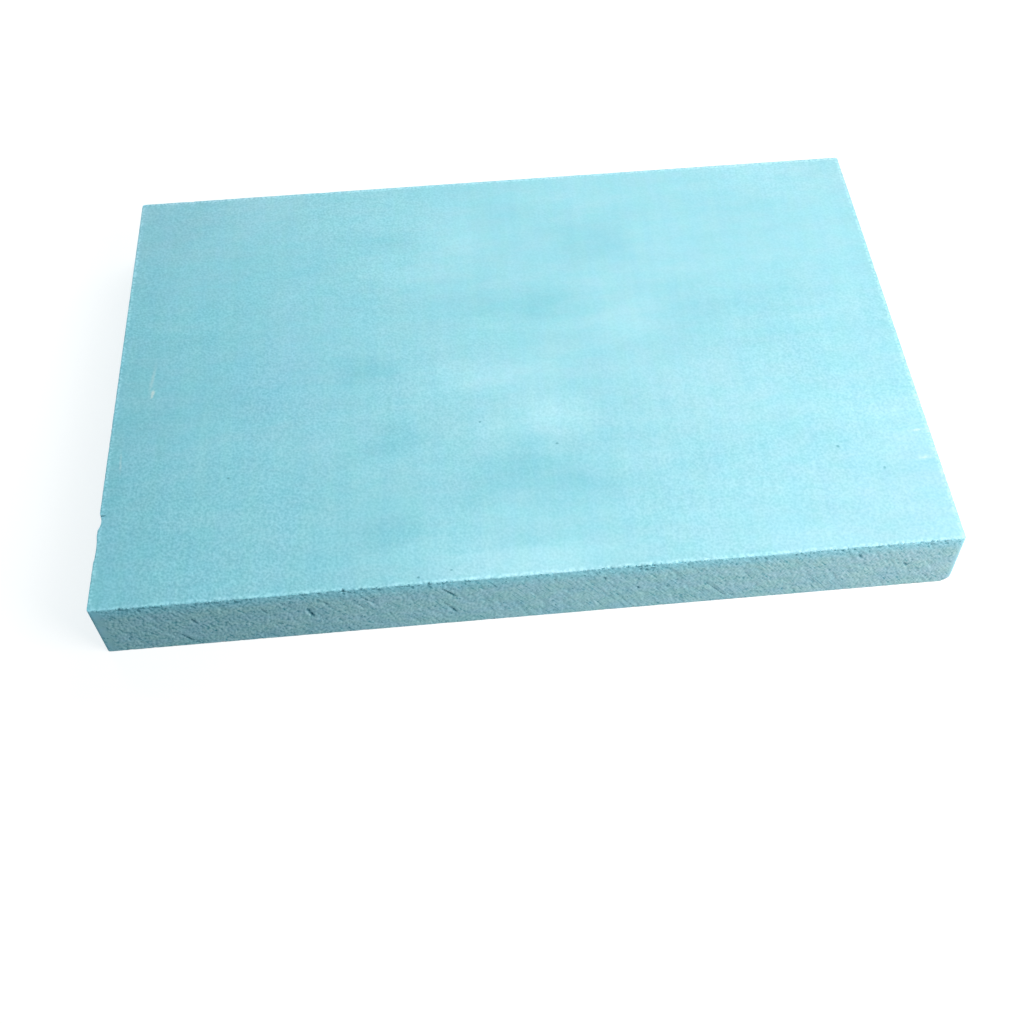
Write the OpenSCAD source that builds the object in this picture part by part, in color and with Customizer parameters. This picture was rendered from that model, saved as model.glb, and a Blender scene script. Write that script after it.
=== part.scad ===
// Foam block: a flat slab of rigid extruded polystyrene, planed on its two broad faces
// and sawn to size on its four narrow ones, where the saw has left slanting scores and
// torn cells. The origin is the centre of the underside, with +X along the length,
// +Y to the back and +Z up. All sizes are in millimetres.

/* [Slab] */
// Length of the slab, along X
slab_l = 300; // [200:5:600]
// Width of the slab, along Y
slab_w = 200; // [120:5:400]
// Thickness of the slab, along Z
slab_t = 27; // [20:0.5:60]
// Radius of the four upright corners
corner_r = 1.2; // [1:0.1:3]
// Bevel worn on the edges around the top and the underside
edge_bevel = 0.25; // [0.1:0.05:0.9]

/* [Saw scores] */
// Slope of the scores and tears, down to the right as each sawn face is looked at
score_slope = 55; // [40:1:70]
// Mean distance from one score to the next along a face
score_pitch = 9; // [6:0.5:30]
// Longest score
score_l = 12; // [6:0.5:16]
// Width of the longest score at the surface
score_w = 0.6; // [0.2:0.05:1]
// Depth of the longest score
score_d = 0.5; // [0.1:0.05:1]

/* [Torn cells] */
// Mean distance from one torn cell to the next along a face
cell_pitch = 7; // [4:0.5:30]
// Length of the largest torn cell
cell_l = 1.8; // [0.8:0.1:3]
// Width of the largest torn cell
cell_w = 1; // [0.4:0.1:2]
// Depth of the largest torn cell
cell_d = 0.6; // [0.2:0.05:1]

/* [Nicks in the top edges] */
// Mean distance from one nick to the next along an edge
nick_pitch = 12; // [6:0.5:40]
// Length of the largest nick
nick_l = 3; // [1:0.1:5]
// Width of the largest nick
nick_w = 1.6; // [0.6:0.1:3]
// Depth of the largest nick
nick_d = 1; // [0.5:0.05:1.5]

/* [Crushed corner] */
// Length taken off each edge at the lower corner, front right
crush_l = 3.6; // [3:0.1:8]
// Distance from that corner's faces to the centre of its rounding
crush_centre = 8.5; // [8.5:0.5:30]

/* [Split in the left edge] */
// Distance from the front face
split_from_front = 39; // [15:1:90]
// Depth into the slab
split_d = 2.4; // [1:0.1:6]
// Width of its mouth
split_w = 0.4; // [0.3:0.1:2]
// Height down the left face
split_h = 7; // [3:0.5:15]

/* [Chip in the left edge] */
// Distance from the front face
chip_from_front = 36.5; // [15:0.5:90]
// Length along the edge
chip_l = 7; // [3:0.5:15]
// Depth into the slab
chip_d = 0.9; // [0.3:0.1:1.5]

/* [Dent in the left edge] */
// Distance from the front face
dent_from_front = 25; // [15:0.5:90]
// Length along the edge
dent_l = 11; // [4:0.5:20]
// Depth into the slab
dent_d = 0.4; // [0.1:0.05:1]

/* [Hidden] */
$fn = 48;
// Segments round the large balls that form the edge hollows and the crushed corner
BALL_FN = 192;

// Sawn faces, numbered anticlockwise from the front as seen from above
FRONT = 0;
LEFT = 3;
FACES = [FRONT : LEFT];

// Gashes in the front face, where the saw caught: [share of the way along it, share of
// the way up, slope, [length, width, depth]]
GASHES = [
    [0.096, 0.19, 59, [7.4, 0.9, 0.6]],
    [0.099, 0.13, 58, [3.0, 1.0, 0.9]],
    [0.111, 0.57, 68, [4.0, 1.0, 0.9]],
    [0.191, 0.69, 62, [5.5, 0.8, 0.4]],
    [0.241, 0.59, 82, [3.2, 1.1, 1.0]],
    [0.244, 0.49, 66, [3.0, 1.2, 1.2]],
    [0.262, 0.73, 60, [3.4, 0.9, 0.6]],
    [0.301, 0.60, 60, [4.3, 0.8, 0.5]],
    [0.309, 0.74, 51, [8.2, 0.8, 0.5]],
    [0.403, 0.74, 50, [9.6, 1.0, 0.6]],
    [0.397, 0.47, 58, [4.0, 0.8, 0.4]],
    [0.405, 0.33, 60, [5.0, 1.0, 0.8]],
    [0.582, 0.77, 65, [2.2, 1.3, 0.7]],
    [0.621, 0.49, 60, [2.0, 1.2, 0.7]],
    [0.630, 0.89, 50, [2.2, 1.2, 0.7]],
    [0.655, 0.46, 60, [1.6, 1.1, 0.5]],
    [0.702, 0.45, 62, [2.0, 1.1, 0.5]],
    [0.716, 0.26, 53, [12.5, 0.9, 0.5]],
    [0.879, 0.79, 50, [2.6, 1.2, 0.7]],
    [0.937, 0.51, 56, [3.6, 1.1, 0.8]],
    [0.947, 0.38, 52, [15.0, 0.8, 0.3]],
    [0.966, 0.19, 48, [4.8, 0.9, 0.5]],
];

// Smallest mark, as a share of the largest of its kind
SMALLEST = 0.35;
// How far a mark strays from its place, as a share of the pitch, and from the slope, in
// degrees
PLACE_STRAY = 0.4;
SLOPE_STRAY = 8;
// Length left unmarked beside each upright corner
END_CLEAR = 4;
SCORE_SEED = 11;
CELL_SEED = 23;
NICK_SEED = 37;

// Length of a sawn face, and its distance from the slab's centre line
function face_l(face) = face % 2 == 0 ? slab_l : slab_w;
function face_out(face) = (face % 2 == 0 ? slab_w : slab_l) / 2;

// Place along a face, from its middle, of a point at a distance from its right end
function from_right(face, distance) = face_l(face) / 2 - distance;

function between(low, high, share) = low + (high - low) * share;

// Marks along a face at about the given pitch: each is its place from the face's middle
// and three random shares
function marks(face, pitch, seed) =
    let (run = face_l(face) - 2 * (corner_r + END_CLEAR), n = floor(run / pitch))
    let (shares = rands(0, 1, 4 * n, seed + face))
    [for (i = [0 : n - 1])
        let (stray = between(-PLACE_STRAY, PLACE_STRAY, shares[4 * i]))
        [(i + 0.5 + stray) * run / n - run / 2, for (k = [1 : 3]) shares[4 * i + k]]
    ];

// Puts what is drawn on the plane y = 0, x to the right and z up, on a sawn face
module on_face(face) {
    rotate([0, 0, 90 * face]) translate([0, -face_out(face), 0]) children();
}

// Upright half section with bevelled edges, as far out as given
module half_section(out) {
    polygon([
        [0, 0], [out - edge_bevel, 0], [out, edge_bevel],
        [out, slab_t - edge_bevel], [out - edge_bevel, slab_t], [0, slab_t],
    ]);
}

// Bar along X with the whole section
module bar(run, out) {
    rotate([90, 0, 90]) linear_extrude(run, center = true) {
        half_section(out);
        mirror([1, 0]) half_section(out);
    }
}

// The slab before the saw and wear marked it
module plain_slab() {
    bar(slab_l - 2 * corner_r, slab_w / 2);
    rotate([0, 0, 90]) bar(slab_w - 2 * corner_r, slab_l / 2);
    for (x = [-1, 1], y = [-1, 1])
        translate([x * (slab_l / 2 - corner_r), y * (slab_w / 2 - corner_r), 0])
            rotate_extrude() half_section(corner_r);
}

// V-shaped tear with its middle at [x, z] on a face; size is its length, width and depth
module tear(x, z, slope, size) {
    translate([x, 0, z]) rotate([0, slope, 0]) rotate([90, 0, 90])
        linear_extrude(size[0], center = true)
            polygon([[size[2], 0], [-size[2], size[1]], [-size[2], -size[1]]]);
}

// Tears spread along a face: at its top edge, or else between the two edges, with more
// of them in the upper half
module tears(face, pitch, largest, seed, at_top = false) {
    for (m = marks(face, pitch, seed)) {
        size = largest * between(SMALLEST, 1, m[1]);
        slope = score_slope + between(-SLOPE_STRAY, SLOPE_STRAY, m[2]);
        margin = size[0] * sin(slope) / 2 + size[1];
        z = at_top ? slab_t : between(margin, slab_t - margin, sqrt(m[3]));
        tear(m[0], z, slope, size);
    }
}

// What the saw left on a face
module saw_marks(face) {
    tears(face, score_pitch, [score_l, score_w, score_d], SCORE_SEED);
    tears(face, cell_pitch, [cell_l, cell_w, cell_d], CELL_SEED);
    tears(face, nick_pitch, [nick_l, nick_w, nick_d], NICK_SEED, at_top = true);
}

// Long gashes in the front face
module front_gashes() {
    for (g = GASHES)
        tear((g[0] - 0.5) * face_l(FRONT), g[1] * slab_t, g[2], g[3]);
}

// Hollow of a ball's form in a face's top edge, with its middle at x
module edge_hollow(x, wide, deep) {
    r = (wide * wide / 4 + deep * deep) / (2 * deep);
    translate([x, deep - r, slab_t]) sphere(r, $fn = BALL_FN);
}

// Narrow split that opens at a face and at the top
module edge_split(x) {
    translate([x, 0, slab_t - split_h]) linear_extrude(2 * split_h)
        polygon([[0, split_d], [-split_w, -split_d], [split_w, -split_d]]);
}

// Lower corner at the front right, pressed round by a knock
module crushed_corner() {
    r = norm([crush_centre - crush_l, crush_centre, crush_centre]);
    translate([slab_l / 2, -slab_w / 2, 0]) mirror([1, 0, 0]) difference() {
        translate([-1, -1, -1]) cube(crush_l + 1);
        translate([1, 1, 1] * crush_centre) sphere(r, $fn = BALL_FN);
    }
}

// The whole block
module foam_block() {
    color("#9edfe9") difference() {
        plain_slab();
        for (face = FACES) on_face(face) saw_marks(face);
        on_face(FRONT) front_gashes();
        on_face(LEFT) {
            edge_split(from_right(LEFT, split_from_front));
            edge_hollow(from_right(LEFT, chip_from_front), chip_l, chip_d);
            edge_hollow(from_right(LEFT, dent_from_front), dent_l, dent_d);
        }
        crushed_corner();
    }
}

foam_block();
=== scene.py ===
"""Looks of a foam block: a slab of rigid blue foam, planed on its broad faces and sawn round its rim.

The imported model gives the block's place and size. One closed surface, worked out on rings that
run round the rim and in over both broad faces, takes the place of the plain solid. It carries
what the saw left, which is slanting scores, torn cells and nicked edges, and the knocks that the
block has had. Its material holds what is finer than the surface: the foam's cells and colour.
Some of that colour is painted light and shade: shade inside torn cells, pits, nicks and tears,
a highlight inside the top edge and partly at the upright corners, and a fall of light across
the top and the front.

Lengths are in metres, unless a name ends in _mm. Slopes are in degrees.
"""

import logging
import math
from collections.abc import Callable
from dataclasses import dataclass
from enum import Enum
from functools import cached_property, partial, reduce

import bpy
import numpy as np
from mathutils import Matrix, Vector


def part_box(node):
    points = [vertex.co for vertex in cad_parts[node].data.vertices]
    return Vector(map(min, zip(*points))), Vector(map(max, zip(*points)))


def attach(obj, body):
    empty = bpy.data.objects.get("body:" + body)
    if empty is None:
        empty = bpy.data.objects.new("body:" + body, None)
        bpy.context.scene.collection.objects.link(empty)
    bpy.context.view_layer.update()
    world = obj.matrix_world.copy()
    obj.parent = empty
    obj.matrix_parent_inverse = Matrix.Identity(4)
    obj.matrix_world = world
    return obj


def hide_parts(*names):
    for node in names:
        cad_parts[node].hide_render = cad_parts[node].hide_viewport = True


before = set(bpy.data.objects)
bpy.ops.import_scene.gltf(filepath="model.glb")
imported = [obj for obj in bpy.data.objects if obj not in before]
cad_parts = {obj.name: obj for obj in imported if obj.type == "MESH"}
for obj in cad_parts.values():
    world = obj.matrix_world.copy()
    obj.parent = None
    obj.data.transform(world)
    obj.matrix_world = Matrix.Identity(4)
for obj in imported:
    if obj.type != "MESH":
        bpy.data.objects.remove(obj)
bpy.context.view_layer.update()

MM = 0.001
NODE = "foam_block"
RIM_MAP = "rim"
LOG = logging.getLogger(NODE)

Socket = bpy.types.NodeSocket
Colour = tuple[float, float, float]
Pair = tuple[float, float]
Sizes = tuple[float, ...]
# Low, high, start and end of a smooth change, as NodeSheet.ramp takes them
Ramp = tuple[float, float, float, float]


def mm(*lengths: float) -> Sizes:
    """Returns lengths that are given in millimetres."""
    return tuple(length * MM for length in lengths)


class Side(Enum):
    """The sawn faces, each with the quarter turns that carry the front face onto it."""

    LEFT = -1
    FRONT = 0
    RIGHT = 1
    BACK = 2


class Pattern(Enum):
    """What the surface carries for its finish, by the names of its attributes."""

    SAWN = "sawn"
    SCORED = "scored"
    RUBBED = "rubbed"
    TORN = "torn"
    WORN = "worn"


SIDES = tuple(Side)
# Columns of a section's rows
INSET, HEIGHT, DISTANCE, PUSH_IN, PUSH_UP = range(5)
# Mean of a smooth noise, and the span that holds nearly all of it
NOISE_MEAN = 0.5
NOISE_SPAN = (0.3, 0.7)
# The noise that coordinates stray by
STRAY_PLACE = (0.3, 0.2, 0.1)
STRAY_DETAIL = 3.0
# Inputs and output of a Mix node that are for colours
MIX_INPUTS = (0, 6, 7)
MIX_OUTPUT = 2


@dataclass(frozen=True)
class Tear:
    """A V-shaped gash in a sawn face, sloping down to the right.

    It is placed from the face's middle, to the right as the face is looked at, and up from the
    underside.
    """

    side: Side
    along: float
    up: float
    slope: float
    length: float
    width: float
    depth: float


@dataclass(frozen=True)
class Hollow:
    """A rounded dent in a face's top edge, placed along the face from its middle."""

    side: Side
    along: float
    length: float
    depth: float

    def ball_radius(self) -> float:
        """Returns the radius of the ball whose cap is so long and so deep."""
        return (self.length**2 / 4 + self.depth**2) / (2 * self.depth)


@dataclass(frozen=True)
class Split:
    """A narrow split that opens at a face and at the top."""

    side: Side
    along: float
    depth: float
    height: float


@dataclass(frozen=True)
class Litter:
    """A random spread of tears over the sawn faces; pitch is the mean distance between them."""

    pitch: float
    length: float
    width: float
    depth: float
    seed: int
    at_top: bool = False


def front_tears(rows: tuple[Sizes, ...]) -> tuple[Tear, ...]:
    """Returns the front face's tears from their measures in millimetres and their slopes."""
    return tuple(Tear(Side.FRONT, *mm(along, up), slope, *mm(*size)) for along, up, slope, *size in rows)


# Along the front face, up, slope, length, width and depth
GASHES = front_tears((
    (-121.3, 5.2, 59, 7.4, 0.9, 0.6),
    (-120.3, 3.6, 58, 3.0, 1.0, 0.9),
    (-116.8, 15.3, 68, 4.0, 1.0, 0.9),
    (-92.7, 18.6, 62, 5.5, 0.8, 0.4),
    (-77.7, 15.9, 82, 3.2, 1.1, 1.0),
    (-76.8, 13.3, 66, 3.0, 1.2, 1.2),
    (-71.4, 19.7, 60, 3.4, 0.9, 0.6),
    (-59.6, 16.1, 60, 4.3, 0.8, 0.5),
    (-57.4, 19.9, 51, 8.2, 0.8, 0.5),
    (-29.1, 20.0, 50, 9.6, 1.0, 0.6),
    (-30.8, 12.8, 58, 4.0, 0.8, 0.4),
    (-28.4, 8.9, 60, 5.0, 1.0, 0.8),
    (24.5, 20.9, 65, 2.2, 1.3, 0.7),
    (36.3, 13.1, 60, 2.0, 1.2, 0.7),
    (39.0, 24.0, 50, 2.2, 1.2, 0.7),
    (46.6, 12.5, 60, 1.6, 1.1, 0.5),
    (60.7, 12.2, 62, 2.0, 1.1, 0.5),
    (64.7, 7.0, 53, 12.5, 0.9, 0.5),
    (113.7, 21.3, 50, 2.6, 1.2, 0.7),
    (131.0, 13.7, 56, 3.6, 1.1, 0.8),
    (134.0, 10.3, 52, 15.0, 0.8, 0.3),
    (139.8, 5.1, 48, 4.8, 0.9, 0.5),
))
NICKS = front_tears((
    (-139.0, 26.6, 35, 1.7, 1.2, 0.9),
    (-124.4, 25.0, 60, 1.3, 1.1, 0.6),
    (-100.9, 25.9, 65, 1.0, 0.8, 0.4),
    (-82.9, 24.9, 60, 1.2, 1.1, 0.6),
    (-64.4, 26.6, 30, 2.0, 1.4, 1.2),
    (-52.3, 25.7, 65, 0.9, 0.8, 0.35),
    (-35.5, 26.7, 40, 1.4, 1.0, 0.9),
    (-22.8, 26.4, 20, 1.6, 1.0, 0.7),
    (25.5, 26.2, 70, 1.4, 0.8, 0.5),
    (36.8, 25.0, 50, 1.5, 1.2, 0.7),
    (40.8, 24.9, 25, 2.0, 1.1, 0.8),
    (53.3, 25.0, 60, 1.3, 1.0, 0.6),
    (76.7, 25.0, 60, 1.3, 1.1, 0.6),
    (79.9, 25.0, 50, 1.5, 1.1, 0.6),
    (90.5, 25.5, 55, 1.5, 1.1, 0.6),
    (93.8, 24.9, 55, 1.3, 1.0, 0.45),
    (106.6, 26.1, 45, 2.1, 1.3, 0.6),
    (110.8, 26.0, 60, 1.0, 0.8, 0.4),
    (138.1, 24.9, 50, 1.3, 1.0, 0.6),
))
LITTERS = (
    Litter(*mm(9.0, 12.0, 0.8, 0.35), seed=11),
    Litter(*mm(2.2, 1.8, 1.2, 0.5), seed=23),
    Litter(*mm(3.0, 1.4, 1.0, 0.6), seed=37, at_top=True),
)
HOLLOWS = (
    Hollow(Side.LEFT, *mm(63.5, 7.0, 0.9)),
    Hollow(Side.LEFT, *mm(75.0, 11.0, 0.4)),
)
SPLIT = Split(Side.LEFT, *mm(61.0, 2.4, 7.0))
# How ragged each face's top edge is, over even stretches from its start to its end
EDGE_WEAR = {
    Side.LEFT: (0.1,),
    Side.FRONT: (1.3, 0.8, 0.8, 1.3, 1.1, 0.5, 0.6, 1.9, 0.8, 0.6, 1.0, 1.2),
    Side.RIGHT: (0.3,),
    Side.BACK: (0.3,),
}


def smoothstep(low: float | np.ndarray, high: float | np.ndarray, value: np.ndarray) -> np.ndarray:
    """Returns a smooth rise from 0 at low to 1 at high."""
    t = np.clip((value - low) / (high - low), 0.0, 1.0)
    return t * t * (3.0 - 2.0 * t)


def cos_sin(slope: float) -> Pair:
    """Returns the cosine and the sine of a slope."""
    return math.cos(math.radians(slope)), math.sin(math.radians(slope))


def linked(name: str, data: bpy.types.ID) -> bpy.types.Object:
    """Makes an object and links it to the scene.

    Args:
        name: Its name.
        data: The mesh, camera or light that it holds.

    Returns:
        The object.
    """
    item = bpy.data.objects.new(name, data)
    bpy.context.scene.collection.objects.link(item)
    return item


@dataclass(frozen=True)
class RimPath:
    """The block's outline from above: a rectangle with rounded corners, cut into steps.

    The path runs anticlockwise from the back end of the left face. Each side is a straight and
    then a quarter turn.
    """

    length: float
    width: float
    corner_r: float
    steps: int
    gather_share: float = 0.7
    gather_reach: float = 1.2 * MM
    squeeze: float = 14.0 * MM

    def span(self, side: Side) -> float:
        """Returns the length of a sawn face with its corners."""
        return self.length if side.value % 2 == 0 else self.width

    def stand_off(self, side: Side) -> float:
        """Returns how far a sawn face stands from the block's middle."""
        return (self.width if side.value % 2 == 0 else self.length) / 2

    @cached_property
    def starts(self) -> np.ndarray:
        """Where each side starts along the path, and where the path ends."""
        turn = math.pi / 2 * self.corner_r
        runs = [self.span(side) - 2 * self.corner_r + turn for side in SIDES]
        return np.concatenate([[0.0], np.cumsum(runs)])

    def from_middle(self, side: Side, distance: np.ndarray) -> np.ndarray:
        """Returns how far places at a distance along the path are from a side's middle."""
        return distance - self.starts[SIDES.index(side)] - (self.span(side) / 2 - self.corner_r)

    @cached_property
    def distance(self) -> np.ndarray:
        """How far along the path each step lies.

        Even steps are drawn towards the split, which needs a narrow mouth: a step at a distance d
        from it moves by -share * d * exp(-(d / reach)^2).
        """
        even = np.arange(self.steps) * self.starts[-1] / self.steps
        off = self.from_middle(SPLIT.side, even) - SPLIT.along
        return even - self.gather_share * off * np.exp(-((off / self.gather_reach) ** 2))

    def along(self, side: Side) -> np.ndarray:
        """Returns how far each step is from a side's middle, measured along the path."""
        return self.from_middle(side, self.distance)

    @cached_property
    def from_split(self) -> np.ndarray:
        """How far each step is from the split."""
        return np.abs(self.along(SPLIT.side) - SPLIT.along)

    @cached_property
    def side(self) -> np.ndarray:
        """Which side, in the path's order, each step lies on."""
        return np.searchsorted(self.starts, self.distance, side="right") - 1

    def own(self, measure: Callable[[Side], float]) -> np.ndarray:
        """Returns, for each step, a measure of its own side."""
        return np.array([measure(side) for side in SIDES])[self.side]

    @cached_property
    def stations(self) -> tuple[np.ndarray, np.ndarray]:
        """How far each step is along its straight, from 0 to 1, and round its turn, in radians."""
        straight = self.own(self.span) - 2 * self.corner_r
        run = self.distance - self.starts[self.side]
        return np.minimum(run / straight, 1.0), np.maximum(run - straight, 0.0) / self.corner_r

    def turned(self, x: np.ndarray, y: np.ndarray) -> np.ndarray:
        """Turns places from the front face onto each step's own face.

        Args:
            x: Each step's x, as if its face were the front.
            y: Each step's y.

        Returns:
            Rows of x and y.
        """
        quarter = self.own(lambda side: side.value) * math.pi / 2
        cos, sin = np.cos(quarter), np.sin(quarter)
        return np.stack([x * cos - y * sin, x * sin + y * cos], axis=1)

    def normals(self) -> np.ndarray:
        """Returns each step's outward normal: (sin t, -cos t) on a turn of t radians."""
        _, turn = self.stations
        return self.turned(np.sin(turn), -np.cos(turn))

    def ring(self, inset: float, least_r: float) -> np.ndarray:
        """Works out the outline drawn in by an inset, with a point for each step.

        On the front face the point is (p + r sin t, -h + r (1 - cos t)), where p is the step's
        place on the straight, t its turn, h the stand-off and r the corner's radius drawn in.
        The places keep their distance from the middle, and only those near a corner are
        squeezed back to the shorter straight.

        Args:
            inset: How far the ring lies inside the outline.
            least_r: Least radius that a corner keeps.

        Returns:
            Rows of x and y.
        """
        share, turn = self.stations
        radius = max(self.corner_r - inset, least_r)
        half = self.own(self.span) / 2 - self.corner_r
        stand_off = self.own(self.stand_off) - inset
        place = (2 * share - 1) * half
        drawn = (inset + radius - self.corner_r) * smoothstep(half - self.squeeze, half, np.abs(place))
        x = place - np.sign(place) * drawn + radius * np.sin(turn)
        y = radius * (1.0 - np.cos(turn)) - stand_off
        return self.turned(x, y)


@dataclass(frozen=True)
class Section:
    """The rim's section: in over the underside's edge, up the face and in over the top's edge.

    Each row is a step of the section. It has an inset from the face, a height, a distance along
    the section that equals the height on the face, and the directions in which relief pushes it,
    inwards and upwards.
    """

    thickness: float
    arris_r: float
    insets: Sizes
    arris_steps: int
    face_steps: int
    arris_push: Pair = (0.4, 0.9)

    @cached_property
    def rows(self) -> np.ndarray:
        """Rows of inset, height, distance, push inwards and push upwards.

        The upper edge is a quarter circle about (arris_r, thickness - arris_r), followed by the
        flat insets. The lower edge is its mirror image. Relief pushes the whole quarter circle
        one way, inwards and mostly down, so that a deep nick can't fold it over.
        """
        t = np.linspace(0.0, math.pi / 2, self.arris_steps + 1)
        flat = np.array(self.insets)
        inset = np.concatenate([self.arris_r * (1 - np.cos(t)), flat])
        height = self.thickness - np.concatenate([self.arris_r * (1 - np.sin(t)), flat * 0])
        step = np.hypot(np.diff(inset), np.diff(height))
        distance = self.thickness - self.arris_r + np.concatenate([[0.0], np.cumsum(step)])
        push_in = np.concatenate([t * 0 + self.arris_push[0], flat * 0])
        push_up = -np.concatenate([t * 0 + self.arris_push[1], flat * 0 + 1])
        mirrored = [inset, self.thickness - height, self.thickness - distance, push_in, -push_up]
        lower = np.stack(mirrored, axis=1)[::-1]
        up = np.linspace(self.arris_r, self.thickness - self.arris_r, self.face_steps + 1)[1:-1]
        face = np.stack([up * 0, up, up, up * 0 + 1, up * 0], axis=1)
        upper = np.stack([inset, height, distance, push_in, push_up], axis=1)
        return np.concatenate([lower, face, upper])


@dataclass(frozen=True)
class SawRelief:
    """How deep the saw and the knocks have cut into the rim, at each of its rows and steps."""

    path: RimPath
    section: Section
    smallest: float = 0.35
    size_power: float = 1.5
    least_width: float = 0.6
    place_stray: float = 0.45
    slope: float = 62.0
    slope_stray: float = 10.0
    end_clear: float = 5.0 * MM
    hatch_seed: int = 5
    hatch_spread: Pair = mm(1.2, 0.35)
    hatch_depth: float = 0.10 * MM
    ragged_seed: int = 7
    ragged_spread: Pair = mm(0.45, 0.45)
    ragged_depth: float = 0.35 * MM
    ragged_share: float = 0.5
    ragged_reach: float = 0.8 * MM
    sawn_rise: Pair = mm(-0.15, 0.1)
    # Where the sawn colour gives way to the planed colour at the right upright corners: partly smoother foam,
    # partly a painted highlight
    sawn_rubbed: Pair = mm(0.2, 2.2)
    rubbed_reach: Pair = mm(0.4, 2.4)
    scored_left: Pair = mm(0.5, 8.0)
    scored_right: Pair = mm(0.3, 3.2)

    @cached_property
    def shape(self) -> tuple[int, int]:
        """The numbers of rows and steps."""
        return len(self.section.rows), self.path.steps

    def edge_wear(self, side: Side, along: np.ndarray) -> np.ndarray:
        """Works out how ragged a face's top edge is.

        Args:
            side: The face.
            along: Places measured from its middle.

        Returns:
            The raggedness at each place.
        """
        stretches = EDGE_WEAR[side]
        middles = (np.arange(len(stretches)) + 0.5) / len(stretches)
        return np.interp(along / self.path.span(side) + 0.5, middles, stretches)

    @cached_property
    def wear(self) -> np.ndarray:
        """How ragged the top edge is at each step."""
        return sum(self.edge_wear(s, self.path.along(s)) * (self.path.side == n) for n, s in enumerate(SIDES))

    def tear_depth(self, tear: Tear) -> tuple[np.ndarray, np.ndarray, np.ndarray]:
        """Works out one tear on the few rows and steps that it reaches.

        With p along the tear and q across it, each as a share of its half length or half width,
        the depth is the tear's own times (1 - |q|) (1 - p^4).

        Args:
            tear: The tear.

        Returns:
            The rows, the steps and the depths at them.
        """
        reach = (tear.length + tear.width) / 2
        along = self.path.along(tear.side) - tear.along
        up = self.section.rows[:, DISTANCE] - tear.up
        steps, rows = np.flatnonzero(np.abs(along) < reach), np.flatnonzero(np.abs(up) < reach)
        across, down = np.meshgrid(along[steps], -up[rows])
        cos, sin = cos_sin(tear.slope)
        p = (across * cos + down * sin) / (tear.length / 2)
        q = (across * sin - down * cos) / (tear.width / 2)
        depth = tear.depth * np.clip(1 - np.abs(q), 0, 1) * np.clip(1 - p**4, 0, 1)
        return rows, steps, depth

    def scattered(self, litter: Litter) -> list[Tear]:
        """Spreads a litter's tears: strayed from even places, and more of them near the top.

        Args:
            litter: The litter.

        Returns:
            The tears on all the sawn faces.
        """
        rng = np.random.default_rng(litter.seed)
        tears = []
        for side in SIDES:
            run = self.path.span(side) - 2 * self.end_clear
            count = round(run / litter.pitch)
            stray = rng.uniform(-self.place_stray, self.place_stray, count)
            places = (np.arange(count) + 0.5 + stray) * run / count - run / 2
            sizes = rng.uniform(self.smallest, 1.0, count) ** self.size_power
            slopes = self.slope + rng.uniform(-self.slope_stray, self.slope_stray, count)
            heights = np.sqrt(rng.uniform(0.0, 1.0, count))
            if litter.at_top:
                sizes = sizes * self.edge_wear(side, places)
            lengths = litter.length * sizes
            ups = lengths / 2 + heights * (self.section.thickness - lengths)
            if litter.at_top:
                ups[:] = self.section.thickness
            widths = litter.width * np.maximum(sizes, self.least_width)
            rows = zip(places, ups, slopes, lengths, widths, litter.depth * sizes, strict=True)
            tears += [Tear(side, *row) for row in rows]
        return tears

    def grid_noise(self, seed: int, spread: Pair) -> np.ndarray:
        """Makes smooth random relief over the rim, stretched along the saw's slope.

        White noise is multiplied in the frequency domain by a Gaussian that is narrow along the
        slope and wide across it, then brought to a spread of 1.

        Args:
            seed: Seed of the random numbers.
            spread: Lengths over which the noise is smooth, along the slope and across it.

        Returns:
            One value for each row and step.
        """
        rows, steps = self.shape
        fz = np.fft.fftfreq(rows, self.section.thickness / self.section.face_steps)[:, None]
        fx = np.fft.fftfreq(steps, self.path.starts[-1] / steps)
        cos, sin = cos_sin(self.slope)
        fp, fq = fx * cos - fz * sin, fx * sin + fz * cos
        keep = np.exp(-2 * (math.pi**2) * ((fp * spread[0]) ** 2 + (fq * spread[1]) ** 2))
        white = np.random.default_rng(seed).standard_normal(self.shape)
        noise = np.real(np.fft.ifft2(np.fft.fft2(white) * keep))
        return noise / noise.std()

    def from_corners(self, *sides: Side) -> np.ndarray:
        """Returns how far each step is, along the path, from the nearest end of the given faces."""
        return np.min([np.abs(np.abs(self.path.along(s)) - self.path.span(s) / 2) for s in sides], axis=0)

    def sawn(self, over: float) -> np.ndarray:
        """Returns how much each row and step belongs to a sawn face.

        Args:
            over: How far beyond the top edge the sawn faces are taken to reach.

        Returns:
            1 on the sawn faces, falling to 0 on the broad faces and at the upright corners on the right,
            which are partly foam worn smooth and partly a painted highlight.
        """
        up = self.section.rows[:, [DISTANCE]]
        down = self.section.thickness + over - up
        rise = smoothstep(*self.sawn_rise, up) * smoothstep(*self.sawn_rise, down)
        return rise * smoothstep(*self.sawn_rubbed, self.from_corners(Side.RIGHT))

    @cached_property
    def rubbed(self) -> np.ndarray:
        """How much each row and step belongs to an upright corner, made paler: partly foam worn smooth,
        partly a painted highlight on its rounding.
        """
        near = 1.0 - smoothstep(*self.rubbed_reach, self.from_corners(*SIDES))
        return near * (self.section.rows[:, [INSET]] < self.path.corner_r)

    @cached_property
    def scored(self) -> np.ndarray:
        """How strong the saw's marks are at each row and step: they fade towards upright corners."""
        left = smoothstep(*self.scored_left, self.from_corners(Side.LEFT))
        return self.sawn(0.0) * left * smoothstep(*self.scored_right, self.from_corners(Side.RIGHT))

    @cached_property
    def torn(self) -> np.ndarray:
        """Depth of the deepest tear at each row and step."""
        depth = np.zeros(self.shape)
        tears = [tear for litter in LITTERS for tear in self.scattered(litter)]
        for tear in [*GASHES, *NICKS, *tears]:
            rows, steps, cut = self.tear_depth(tear)
            window = np.ix_(rows, steps)
            depth[window] = np.maximum(depth[window], cut)
        return depth

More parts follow.
